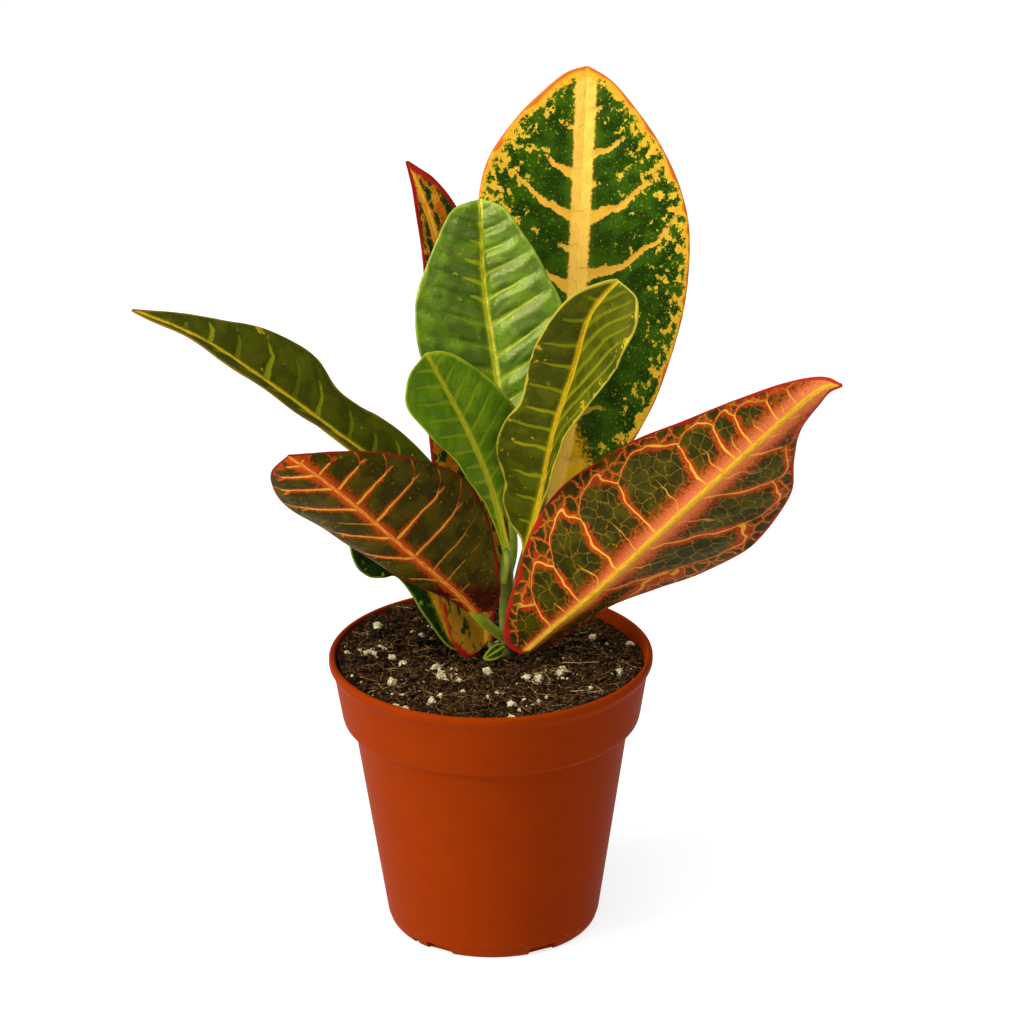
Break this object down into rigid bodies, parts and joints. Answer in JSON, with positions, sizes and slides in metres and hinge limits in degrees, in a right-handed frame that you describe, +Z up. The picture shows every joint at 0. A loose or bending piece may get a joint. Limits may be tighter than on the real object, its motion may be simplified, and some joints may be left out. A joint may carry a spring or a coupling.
{
  "type": "potted croton",
  "caption": "Young croton plant with broad, veined leaves in gold, green, orange and red, growing from potting mix in a round tapered plastic nursery pot.",
  "frame": {"origin": "centre of the pot's base, on the surface that the pot stands on", "axes": "+Z up along the pot's axis, +Y away from the viewer of the picture, +X to the viewer's right, where the red-veined leaf reaches"},
  "size_m": [0.2289, 0.1309, 0.2766],
  "materials": {
    "pot_plastic": "satin",
    "potting_mix": "matte",
    "stem_bark": "matte",
    "leaf_gold": "gloss",
    "leaf_orange": "satin",
    "leaf_green": "gloss",
    "leaf_olive": "satin",
    "leaf_red": "satin",
    "leaf_bronze": "satin",
    "leaf_dark": "satin"
  },
  "bodies": {
    "root": {"pot": "pot_plastic", "soil": "potting_mix", "stem": "stem_bark", "leaf_back_gold": "leaf_gold", "leaf_back_orange": "leaf_orange", "leaf_upper_green": "leaf_green", "leaf_small_green": "leaf_green", "leaf_middle_olive": "leaf_olive", "leaf_right_red": "leaf_red", "leaf_left_bronze": "leaf_bronze", "leaf_far_left": "leaf_olive", "leaf_low_left": "leaf_dark", "leaf_low_front": "leaf_dark"}
  },
  "joints": []
}
